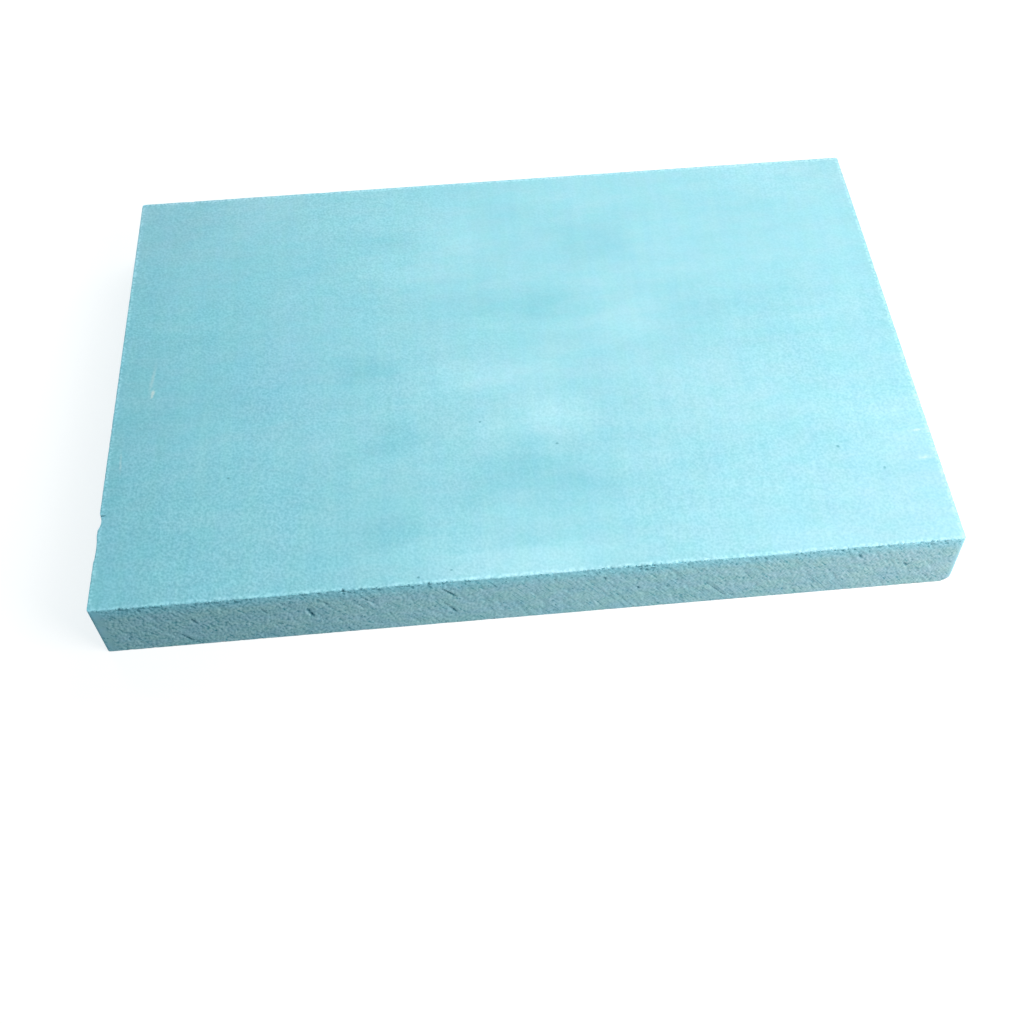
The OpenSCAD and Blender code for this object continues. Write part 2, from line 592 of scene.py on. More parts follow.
    def depth(self) -> np.ndarray:
        """Returns the whole relief: tears, the saw's hatch and the ragged upper edge."""
        hatch = self.grid_noise(self.hatch_seed, self.hatch_spread) * self.hatch_depth
        ragged = np.maximum(self.grid_noise(self.ragged_seed, self.ragged_spread) - self.ragged_share, 0.0)
        to_edge = np.abs(self.section.rows[:, [DISTANCE]] - self.section.thickness)
        at_edge = 1.0 - smoothstep(0.0, self.ragged_reach, to_edge)
        relief = np.maximum(hatch, -self.hatch_depth) * self.scored
        relief += ragged * self.ragged_depth * at_edge * self.wear
        return np.maximum(self.torn + relief, 0.0)

    def knocks(self) -> np.ndarray:
        """Works out how far the hollows and the split push each row and step straight in.

        A hollow's depth is the ball's own above the chord, sqrt(R^2 - a^2 - b^2) - (R - depth),
        with a along the face and b down from the top. The split is a V one step wide.

        Returns:
            One depth for each row and step.
        """
        below = np.maximum(self.section.thickness - self.section.rows[:, [HEIGHT]], 0.0)
        deepest = np.zeros(self.shape)
        for hollow in HOLLOWS:
            radius = hollow.ball_radius()
            off = self.path.along(hollow.side) - hollow.along
            square = np.maximum(radius**2 - off**2 - below**2, 0.0)
            deepest = np.maximum(deepest, np.sqrt(square) - (radius - hollow.depth))
        narrow = self.path.from_split == self.path.from_split.min()
        return np.maximum(deepest, SPLIT.depth * narrow * (1 - smoothstep(0, SPLIT.height, below)))


@dataclass(frozen=True)
class Surface:
    """A mesh's parts: points, faces as rows of point numbers, and a place on the rim per corner.

    A place on the rim is the distance along it and the height above the top edge.
    """

    points: np.ndarray
    faces: list[list[int]]
    corners: np.ndarray


@dataclass(frozen=True)
class Planer:
    """Closes a broad face: rings that shrink to its middle, each with half the steps or as many."""

    shares: Sizes = (0.985, 0.965, 0.935, 0.9, 0.8, 0.6, 0.35, 0.15)
    halvings: int = 4

    def rings(self, rim: np.ndarray) -> list[np.ndarray]:
        """Works out the rings inside a rim: the rim's points, scaled about its middle.

        Args:
            rim: The points of the rim.

        Returns:
            The rings from the rim inwards, the last of one point.
        """
        middle = np.array([0.0, 0.0, rim[:, 2].mean()])
        rings, stride = [], 1
        for number, share in enumerate(self.shares):
            stride *= 2 if number < self.halvings else 1
            flat = rim[::stride] * [1.0, 1.0, 0.0] + [0.0, 0.0, middle[2]]
            rings.append(middle + (flat - middle) * share)
        return [*rings, middle[None, :]]


@dataclass(frozen=True)
class FoamBlock:
    """The block: its surface, worked out from the frame's box, and its finish."""

    low: Vector
    high: Vector
    corner_r: float = 1.2 * MM
    least_r: float = 0.4 * MM
    arris_r: float = 0.15 * MM
    insets: Sizes = mm(0.7, 1.2, 1.9, 3.6)
    crush_reach: float = 3.6 * MM
    crush_centre: float = 8.5 * MM
    steps: int = 1728
    arris_steps: int = 3
    face_steps: int = 38

    @cached_property
    def path(self) -> RimPath:
        """The outline of the frame's box."""
        size = self.high - self.low
        return RimPath(size.x, size.y, self.corner_r, self.steps)

    @cached_property
    def section(self) -> Section:
        """The rim's section, as thick as the frame's box."""
        thickness = self.high.z - self.low.z
        return Section(thickness, self.arris_r, self.insets, self.arris_steps, self.face_steps)

    def rim(self, relief: SawRelief) -> np.ndarray:
        """Works out the rim's points, as rows of the section by steps of the path.

        Each point is the ring at its row's inset and height, moved by the relief in the row's
        push directions and by the knocks straight in. A knock fades out over the broad faces.

        Args:
            relief: The relief cut into the rim.

        Returns:
            Points, indexed by row, step and axis.
        """
        rows = self.section.rows
        plan = np.stack([self.path.ring(inset, self.least_r) for inset in rows[:, INSET]])
        depth = relief.depth()
        fade = 1.0 - rows[:, [INSET]] / rows[:, INSET].max()
        inward = depth * rows[:, [PUSH_IN]] + relief.knocks() * fade
        height = self.low.z + rows[:, [HEIGHT]] + depth * rows[:, [PUSH_UP]]
        plan = plan - self.path.normals() * inward[:, :, None]
        middle = (self.low + self.high) / 2
        return np.concatenate([plan + [middle.x, middle.y], height[:, :, None]], axis=2)

    def crushed(self, points: np.ndarray) -> np.ndarray:
        """Presses the lower front right corner onto a ball.

        Points outside a ball about a point inside that corner, and within reach of the corner,
        are brought back to the ball along their own radius.

        Args:
            points: The rim's points.

        Returns:
            The points, pressed.
        """
        corner = np.array([self.high.x, self.low.y, self.low.z])
        inward = np.array([-1.0, 1.0, 1.0])
        centre = corner + inward * self.crush_centre
        radius = math.hypot(self.crush_centre - self.crush_reach, self.crush_centre, self.crush_centre)
        near = np.all((points - corner) * inward < self.crush_reach, axis=-1, keepdims=True)
        arm = points - centre
        length = np.linalg.norm(arm, axis=-1, keepdims=True)
        return np.where(near & (length > radius), centre + arm * (radius / length), points)

    def surface(self, rim: np.ndarray) -> Surface:
        """Joins the rim and both broad faces into one closed surface.

        Args:
            rim: The rim's points, by row and step.

        Returns:
            The surface, with its faces outwards.
        """
        rows, steps = rim.shape[:2]
        number = np.arange(rows * steps).reshape(rows, steps)
        right = np.roll(number, -1, axis=1)
        quads = np.stack([number[:-1], right[:-1], right[1:], number[1:]], axis=-1).reshape(-1, 4)
        along = np.stack([np.arange(steps), np.arange(steps) + 1.0]) * self.path.starts[-1] / steps
        place = self.section.rows[:, DISTANCE] - self.section.thickness
        u = np.broadcast_to(along[[0, 1, 1, 0]].T[None], (rows - 1, steps, 4))
        v = np.broadcast_to(np.stack([place[:-1], place[:-1], place[1:], place[1:]], -1)[:, None], u.shape)
        corners = [np.stack([u, v], axis=-1).reshape(-1, 2)]
        points, faces = [rim.reshape(-1, 3)], quads.tolist()
        count = rows * steps
        for row, order in ((0, -1), (-1, 1)):
            outer = number[row]
            for ring in Planer().rings(rim[row]):
                inner = count + np.arange(len(ring))
                count += len(ring)
                points.append(ring)
                tiles = self.tiles(outer, inner)
                faces += [tile[::order] for tile in tiles]
                corners.append(np.tile([0.0, place[row]], (sum(map(len, tiles)), 1)))
                outer = inner
        return Surface(np.concatenate(points), faces, np.concatenate(corners))

    @staticmethod
    def tiles(outer: np.ndarray, inner: np.ndarray) -> list[list[int]]:
        """Fills the band between two rings, where the inner has as many steps, half or one.

        Args:
            outer: Numbers of the outer ring's points.
            inner: Numbers of the inner ring's points.

        Returns:
            The faces, each a row of point numbers.
        """
        after = np.roll(outer, -1)
        if len(inner) == 1:
            return np.stack([outer, after, np.full_like(outer, inner[0])], axis=1).tolist()
        ahead = np.roll(inner, -1)
        if len(inner) == len(outer):
            return np.stack([outer, after, ahead, inner], axis=1).tolist()
        first, second, third = outer[::2], outer[1::2], np.roll(outer, -2)[::2]
        fans = [(first, second, inner), (second, ahead, inner), (second, third, ahead)]
        return np.concatenate([np.stack(fan, axis=1) for fan in fans]).tolist()

    def smooth(self, count: int) -> np.ndarray:
        """Picks the faces that are shaded smooth: all of them but those beside the split.

        Args:
            count: How many faces there are.

        Returns:
            Whether each face is smooth.
        """
        split = self.path.from_split.argmin()
        smooth = np.ones(count, bool)
        quads = smooth[: (len(self.section.rows) - 1) * self.steps].reshape(-1, self.steps)
        quads[:, [split - 1, split]] = False
        return smooth

    def build(self, finish: "FoamFinish") -> bpy.types.Object:
        """Makes the block's object, with its attributes and its finish.

        Args:
            finish: The foam's finish.

        Returns:
            The object, linked to the scene at the origin.
        """
        relief = SawRelief(self.path, self.section)
        made = self.surface(self.crushed(self.rim(relief)))
        mesh = bpy.data.meshes.new(NODE + "_skin")
        mesh.from_pydata(made.points.tolist(), [], made.faces)
        mesh.shade_smooth()
        mesh.polygons.foreach_set("use_smooth", self.smooth(len(made.faces)))
        mesh.uv_layers.new(name=RIM_MAP).data.foreach_set("uv", made.corners.ravel())
        patterns = {
            Pattern.SAWN: relief.sawn(finish.most_frayed),
            Pattern.SCORED: relief.scored,
            Pattern.RUBBED: relief.rubbed,
            Pattern.TORN: relief.torn / MM,
            Pattern.WORN: np.broadcast_to(relief.wear, relief.shape),
        }
        for pattern, values in patterns.items():
            column = np.zeros(len(made.points), np.float32)
            column[: values.size] = values.ravel()
            mesh.attributes.new(pattern.value, "FLOAT", "POINT").data.foreach_set("value", column)
        mesh.materials.append(finish.material())
        return linked(NODE + "_skin", mesh)


@dataclass(frozen=True)
class NodeSheet:
    """A node tree, with short calls that add one node and join up its inputs."""

    tree: bpy.types.NodeTree

    @classmethod
    def of(cls, owner: bpy.types.Material | bpy.types.World) -> "NodeSheet":
        """Empties a node tree.

        Args:
            owner: The material or world that owns it.

        Returns:
            The sheet of the emptied tree.
        """
        owner.use_nodes = True
        owner.node_tree.nodes.clear()
        return cls(owner.node_tree)

    def node(self, kind: str, settings: dict | None = None, **inputs: object) -> bpy.types.Node:
        """Adds a node.

        Args:
            kind: The node's type, without its "ShaderNode".
            settings: The node's own settings.
            **inputs: A socket or a plain value for each input, by its name with _ for a space.

        Returns:
            The node.
        """
        node = self.tree.nodes.new("ShaderNode" + kind)
        for name, value in (settings or {}).items():
            setattr(node, name, value)
        for name, value in inputs.items():
            entry = next(i for i in node.inputs if name in (i.identifier, i.name.replace(" ", "_")))
            self.feed(entry, value)
        return node

    @cached_property
    def place(self) -> Socket:
        """Object coordinates."""
        return self.node("TexCoord").outputs["Object"]

    def feed(self, entry: Socket, value: object) -> None:
        """Joins a socket to an input, or sets the input to a plain value.

        Args:
            entry: The input.
            value: The socket or plain value.
        """
        if isinstance(value, Socket):
            self.tree.links.new(value, entry)
        else:
            entry.default_value = value

    def math(self, operation: str, *values: object, kind: str = "Math") -> Socket:
        """Adds a Math node, or a node of a like kind.

        Args:
            operation: What the node works out.
            values: Its inputs in order, sockets or plain values.
            kind: The node's kind.

        Returns:
            The result.
        """
        node = self.node(kind, {"operation": operation})
        for entry, value in zip(node.inputs, values, strict=False):
            self.feed(entry, value)
        return node.outputs[0]

    def vector(self, operation: str, *values: object) -> Socket:
        """Returns what a Vector Math node makes of its values."""
        return self.math(operation, *values, kind="VectorMath")

    def times(self, *values: object) -> Socket:
        """Returns the product of its values."""
        return reduce(partial(self.math, "MULTIPLY"), values)

    def centred(self, noise: Socket) -> Socket:
        """Returns how far a noise is from its mean."""
        return self.math("SUBTRACT", noise, NOISE_MEAN)

    def drawn(self, noise: Socket, strength: Socket) -> Socket:
        """Returns a noise with its distance from the mean multiplied by a strength."""
        return self.math("MULTIPLY_ADD", self.centred(noise), strength, NOISE_MEAN)

    def ramp(self, value: Socket, low: float, high: float, start: float = 0.0, end: float = 1.0) -> Socket:
        """Returns a smooth change from start at low to end at high."""
        places = {"From_Min": low, "From_Max": high, "To_Min": start, "To_Max": end}
        return self.node("MapRange", {"interpolation_type": "SMOOTHSTEP"}, Value=value, **places).outputs[0]

    def mix(self, share: object, first: object, second: object) -> Socket:
        """Blends two colours.

        Args:
            share: The second colour's share.
            first: A socket, or a plain colour of three parts.
            second: Another.

        Returns:
            The blend.
        """
        node = self.node("Mix", {"data_type": "RGBA"})
        colours = [(*v, 1.0) if isinstance(v, tuple) else v for v in (first, second)]
        for number, value in zip(MIX_INPUTS, (share, *colours), strict=True):
            self.feed(node.inputs[number], value)
        return node.outputs[MIX_OUTPUT]

    def either(self, noise: Socket, first: Colour, second: Colour) -> Socket:
        """Returns one colour where a noise is low and another where it is high."""
        return self.mix(self.ramp(noise, *NOISE_SPAN), first, second)

    def tinted(self, colour: Socket | Colour, tint: Socket) -> Socket:
        """Returns a colour multiplied by a tint."""
        return self.vector("MULTIPLY", colour, tint)

    def shaded(self, colour: Socket | Colour, amount: Socket, weights: Colour) -> Socket:
        """Returns a colour multiplied by 1 + amount * weight, with a weight for each channel."""
        return self.tinted(colour, self.vector("MULTIPLY_ADD", amount, weights, (1.0,) * 3))

    def placed(self, vector: Socket, place: Sizes, size: Sizes, turn: Sizes = (0.0,) * 3) -> Socket:
        """Returns coordinates that have their origin at a place and count in sizes.

        Args:
            vector: The coordinates.
            place: The new origin.
            size: How long a step of 1 is along each new axis; along a Z left out it is a metre.
            turn: Turns of the new axes about X, Y and Z, in degrees.

        Returns:
            The new coordinates.
        """
        angles = tuple(math.radians(angle) for angle in turn)
        changes = {"Location": place, "Rotation": angles, "Scale": (*size, 1.0)[:3]}
        return self.node("Mapping", {"vector_type": "TEXTURE"}, Vector=vector, **changes).outputs[0]

    def warped(self, vector: Socket, size: Sizes, strength: float) -> Socket:
        """Lets coordinates stray smoothly.

        Args:
            vector: The coordinates.
            size: How long one stray is.
            strength: Twice the furthest stray.

        Returns:
            The coordinates, strayed.
        """
        at = self.placed(vector, STRAY_PLACE, size)
        stray = self.node("TexNoise", Vector=at, Scale=1.0, Detail=STRAY_DETAIL).outputs[1]
        centred = self.vector("SUBTRACT", stray, (NOISE_MEAN,) * 3)
        return self.vector("MULTIPLY_ADD", centred, (strength,) * 3, vector)

    def cells(self, vector: Socket) -> Socket:
        """Returns the distance to the nearest of scattered points about one step apart."""
        return self.node("TexVoronoi", Vector=vector, Scale=1.0).outputs[0]

    def spot(self, vector: Socket) -> Socket:
        """Returns a soft spot: 1 at the origin, falling to 0 at a distance of 1."""
        return self.node("TexGradient", {"gradient_type": "QUADRATIC_SPHERE"}, Vector=vector).outputs[1]


@dataclass(frozen=True)
class Noise:
    """Smooth noise about 0.5: where it starts, how long its features are, and their turn about Z."""

    place: Sizes
    size: Sizes
    detail: float
    turn: float = 0.0

    def on(self, sheet: NodeSheet, vector: Socket) -> Socket:
        """Returns the noise at coordinates."""
        at = sheet.placed(vector, self.place, self.size, (0.0, 0.0, self.turn))
        return sheet.node("TexNoise", Vector=at, Scale=1.0, Detail=self.detail).outputs[0]


@dataclass(frozen=True)
class FoamSheet(NodeSheet):
    """The foam's node sheet, with where each point lies and what the surface carries there."""

    @cached_property
    def rim_place(self) -> Socket:
        """Distance along the rim and height above the top edge."""
        return self.node("UVMap", {"uv_map": RIM_MAP}).outputs["UV"]

    @cached_property
    def along(self) -> Socket:
        """Place along the block, from its middle."""
        return self.node("SeparateXYZ", Vector=self.place).outputs["X"]

    @cached_property
    def height(self) -> Socket:
        """Height above the top edge; on the top, the distance in from the edge."""
        return self.node("SeparateXYZ", Vector=self.rim_place).outputs["Y"]

    def carried(self, pattern: Pattern) -> Socket:
        """Returns one of the surface's patterns."""
        return self.node("Attribute", {"attribute_name": pattern.value}).outputs["Fac"]


@dataclass(frozen=True)
class Smear:
    """A soft oval patch, seen from above; strength is how much it changes what it is laid on."""

    x_mm: float
    y_mm: float
    half_length_mm: float
    half_width_mm: float
    strength: float = 1.0
    turn: float = 0.0

    def spot(self, sheet: NodeSheet, place: Socket) -> Socket:
        """Returns how much of the smear lies at each place, from 0 to 1."""
        size = mm(self.half_length_mm, self.half_width_mm)
        return sheet.spot(sheet.placed(place, mm(self.x_mm, self.y_mm, 0.0), size, (0.0, 0.0, self.turn)))

    def laid(self, sheet: NodeSheet, place: Socket, full: float, start: float, end: float) -> Socket:
        """Returns a smooth change from start outside the smear to end where its spot reaches full."""
        return sheet.ramp(self.spot(sheet, place), 0.0, full, start, end)


# Broad patches of the top that are painted shading: paler in the middle, and darker and greener
# towards the left end, which the light reaches less. Their strength works as for the patches below.
BROAD_PAINTED_SHADING = (
    Smear(-5, 0, 135, 300, 0.25),
    Smear(-175, -30, 95, 300, -0.5),
)
# Patches of the top, paler where their strength is positive and greener where it is negative
SMEARS = (
    Smear(2, -60, 52, 26, -0.36),
    Smear(20, -63, 26, 13, -0.16),
    Smear(12, -31, 36, 20, 0.52),
    Smear(-10, -9, 60, 17, 0.44, 5),
    Smear(-12, -36, 44, 8, 0.22),
    Smear(0, 28, 58, 24, -0.26),
    Smear(13, 25, 22, 14, -0.16),
    Smear(36, 60, 36, 32, -0.26),
    Smear(-20, 66, 24, 46, 0.28),
    Smear(-56, -3, 26, 16, -0.34),
    Smear(-46, -38, 22, 17, -0.26),
    Smear(-46, -77, 26, 17, -0.28),
    Smear(-5, -95, 62, 18, 0.52),
    Smear(46, 13, 28, 26, 0.36),
    Smear(-42, 47, 40, 12, 0.22),
    Smear(-46, 66, 30, 12, -0.22),
    Smear(78, -24, 66, 44, 0.16),
    Smear(60, 38, 60, 14, 0.12),
    Smear(88, 16, 46, 14, -0.14),
)
# Patches of another tint, each with the share that it adds to every channel
TINTS = (
    (Smear(-150, 100, 110, 90), (0.10, -0.035, -0.03)),
    (Smear(150, -90, 110, 80), (-0.01, -0.055, -0.045)),
    (Smear(-150, -20, 50, 130), (0.0, -0.03, -0.03)),
    (Smear(-10, -85, 80, 45), (0.035, 0.035, 0.03)),
    (Smear(68, -25, 58, 55), (0.03, 0.0, 0.0)),
    (Smear(-88, -5, 40, 75), (0.02, -0.012, 0.012)),
    (Smear(0, 18, 50, 28), (-0.05, 0.0, -0.01)),
    (Smear(-75, 95, 70, 40), (0.06, 0.005, 0.0)),
    (Smear(145, 95, 45, 45), (0.0, -0.03, -0.03)),
)
SCRATCHES = (
    Smear(-137.0, 1.0, 1.3, 12.0, 0.35, -5),
    Smear(-136.4, -6.5, 1.3, 3.4, 1.5, -8),
    Smear(-145.0, -38.0, 0.8, 8.0, 0.5, 4),
    Smear(145.0, -51.5, 7.0, 1.1, 0.6, 3),
    Smear(145.0, -64.0, 5.5, 1.6, 0.45, 3),
)
# Small pits in the top, painted dark with the shade inside them
SPECKS = (
    Smear(-105.6, -48.8, 0.9, 0.8, 0.8),
    Smear(-14.2, -31.9, 0.9, 0.8, 0.9),
    Smear(13.3, -44.7, 1.0, 0.9, 0.8),
    Smear(114.8, -56.1, 1.0, 1.2, 0.9, 40),
    Smear(129.4, -67.1, 0.9, 1.1, 0.8),
    Smear(-39.0, -97.1, 0.9, 0.8, 1.0),
    Smear(-27.7, -95.2, 0.9, 0.7, 0.8),
    Smear(-148.8, -60.9, 1.9, 0.5, 1.0, 8),
)


@dataclass(frozen=True)
class PlanedFinish:
    """The broad faces: cloudy colour with painted light and shade, the planer's faint lines, fine cut cells,
    smears, marks and a painted highlight inside the edge.
    """

    foam: Colour = (0.339, 0.740, 0.848)
    cloud_share: Colour = (0.41, 0.18, 0.155)
    # Noises with the share that each has in the clouds
    drifts: tuple[tuple[Noise, float], ...] = (
        (Noise((0, 0, 0), mm(26, 10, 20), 3.0, 3.0), 0.60),
        (Noise((0.3, 0.1, 0), mm(70, 50, 50), 2.0), 0.45),
        (Noise((0.4, 0, 0), mm(4, 90), 1.0), 0.30),
    )
    stray_size: Sizes = mm(18, 7, 18)
    smear_stray: float = 16 * MM
    smear_full: float = 0.7
    # Painted light: the top redder and greyer to the right and bluer to the left, as a highlight washes out
    # where the light is strongest
    across_painted_light_share: Colour = (0.055, -0.012, -0.012)
    across_painted_light_ramp: Ramp = (*mm(-150, 150), -1.0, 1.0)
    patch_full: float = 0.6
    teal: Colour = (0.957, 1.006, 1.004)
    rosy: Colour = (1.043, 0.994, 0.998)
    rosy_noise: Noise = Noise((0.7, 0, 0), mm(15, 7, 9), 3.0)
    green: Colour = (1.0, 1.004, 0.985)
    blue: Colour = (1.0, 0.996, 1.015)
    blue_noise: Noise = Noise((0.2, 0.4, 0), mm(6, 30, 9), 2.0)
    scratched: Colour = (0.66, 0.88, 0.88)
    # Painted shade inside the top's small pits
    speck_shade: Colour = (0.16, 0.44, 0.52)
    speck_full: float = 0.5
    contrast: Colour = (2.0, 1.2, 1.12)
    fine: Noise = Noise((0, 0, 0), mm(0.92, 0.92, 0.92), 0.6)
    line: Noise = Noise((0.1, 0, 0), mm(1.6, 60), 1.0)
    line_share: float = 0.06
    grain_share: float = 0.275
    unevenness: Noise = Noise((0.5, 0, 0), mm(45, 45, 45), 2.0)
    uneven_ramp: Ramp = (0.3, 0.7, 0.8, 1.2)
    calm: tuple[Smear, ...] = (
        Smear(45, 50, 150, 170, 0.5),
        Smear(10, -30, 130, 300, 0.2),
        Smear(-150, -110, 140, 190, -0.25),
        Smear(150, -100, 150, 120, 0.3),
        Smear(150, 60, 110, 110, 0.35),
    )
    # Painted highlight just inside the top edge, partly worn skin: its share by the grain, its rise and its
    # fall
    lit_ramp: Ramp = (0.35, 0.65, 0.03, 0.17)
    lit_rise: Ramp = (*mm(0.0, 0.5), 0.0, 1.0)
    lit_fall: Ramp = (*mm(0.7, 1.9), 1.0, 0.0)
    scratch_ramp: Ramp = (0.35, 0.65, 0.4, 1.6)

    def clouds(self, sheet: FoamSheet) -> Socket:
        """Works out the clouds: soft bands along X, tracks along Y and smears, with broad painted shading.

        Args:
            sheet: The foam's sheet.

        Returns:
            How much paler the colour is.
        """
        cloud = -NOISE_MEAN * sum(share for _, share in self.drifts)
        for noise, share in self.drifts:
            cloud = sheet.math("MULTIPLY_ADD", noise.on(sheet, sheet.place), share, cloud)
        # Painted shading: paler in the middle, darker towards the left end
        for smear in BROAD_PAINTED_SHADING:
            cloud = sheet.math("MULTIPLY_ADD", smear.spot(sheet, sheet.place), smear.strength, cloud)
        ragged = sheet.warped(sheet.place, self.stray_size, self.smear_stray)
        for smear in SMEARS:
            amount = smear.laid(sheet, ragged, self.smear_full, 0.0, 1.0)
            cloud = sheet.math("MULTIPLY_ADD", amount, smear.strength, cloud)
        return cloud

    def grain(self, sheet: FoamSheet) -> Socket:
        """Returns the cut cells' relief, about 0.5, with the planer's lines along Y."""
        fine = sheet.times(self.fine.on(sheet, sheet.place), 1.0 - self.line_share)
        return sheet.math("ADD", fine, sheet.times(self.line.on(sheet, sheet.place), self.line_share))

    def strength(self, sheet: FoamSheet) -> Socket:
        """Works out how strong the grain is: weaker where the planer burnished the foam.

        Args:
            sheet: The foam's sheet.

        Returns:
            The strength, about 1.
        """
        strength = sheet.ramp(self.unevenness.on(sheet, sheet.place), *self.uneven_ramp)
        for calm in self.calm:
            burnished = calm.laid(sheet, sheet.place, self.patch_full, 1.0, 1.0 - calm.strength)
            strength = sheet.times(strength, burnished)
        return strength

    def lit(self, sheet: FoamSheet, grain: Socket) -> Socket:
        """Returns how much paler the top is just inside its edge, broken up by the grain: partly worn skin,
        partly a painted highlight where light shines through the thin edge.
        """
        near = sheet.times(sheet.ramp(sheet.height, *self.lit_rise), sheet.ramp(sheet.height, *self.lit_fall))
        return sheet.times(near, sheet.ramp(grain, *self.lit_ramp))

    def marked(self, sheet: FoamSheet, grain: Socket, colour: Socket) -> Socket:
        """Lays the scratches, and the specks of painted shade in small pits, over the top's colour.

        Args:
            sheet: The foam's sheet.
            grain: The cut cells' relief, which breaks up the scratches.
            colour: The colour without them.

        Returns:
            The colour with them.
        """
        *limits, most = self.scratch_ramp
        for scratch in SCRATCHES:
            broken = sheet.ramp(grain, *limits, most * scratch.strength)
            colour = sheet.mix(sheet.times(scratch.spot(sheet, sheet.place), broken), colour, self.scratched)
        for speck_shade in SPECKS:
            share = speck_shade.laid(sheet, sheet.place, self.speck_full, 0.0, speck_shade.strength)
            colour = sheet.mix(share, colour, self.speck_shade)
        return colour

    def colour(self, sheet: FoamSheet, grain: Socket, strength: Socket) -> Socket:
        """Works out the colour of the broad faces.

        Args:
            sheet: The foam's sheet.
            grain: The cut cells' relief.
            strength: How strong the grain is.

        Returns:
            The colour.
        """
        colour = sheet.shaded(self.foam, self.clouds(sheet), self.cloud_share)
        # Painted light: redder and greyer towards the right end, where the light is strongest
        colour = sheet.shaded(colour, sheet.ramp(sheet.along, *self.across_painted_light_ramp), self.across_painted_light_share)
        for patch, share in TINTS:
            amount = patch.laid(sheet, sheet.place, self.patch_full, 0.0, patch.strength)
            colour = sheet.shaded(colour, amount, share)
        hues = ((self.rosy_noise, self.teal, self.rosy), (self.blue_noise, self.green, self.blue))
        for noise, low, high in hues:
            colour = sheet.tinted(colour, sheet.either(noise.on(sheet, sheet.place), low, high))
        amount = sheet.times(sheet.centred(grain), self.grain_share, strength)
        # Adds the painted highlight inside the edge
        amount = sheet.math("ADD", self.lit(sheet, grain), amount)
        return self.marked(sheet, grain, sheet.shaded(colour, amount, self.contrast))


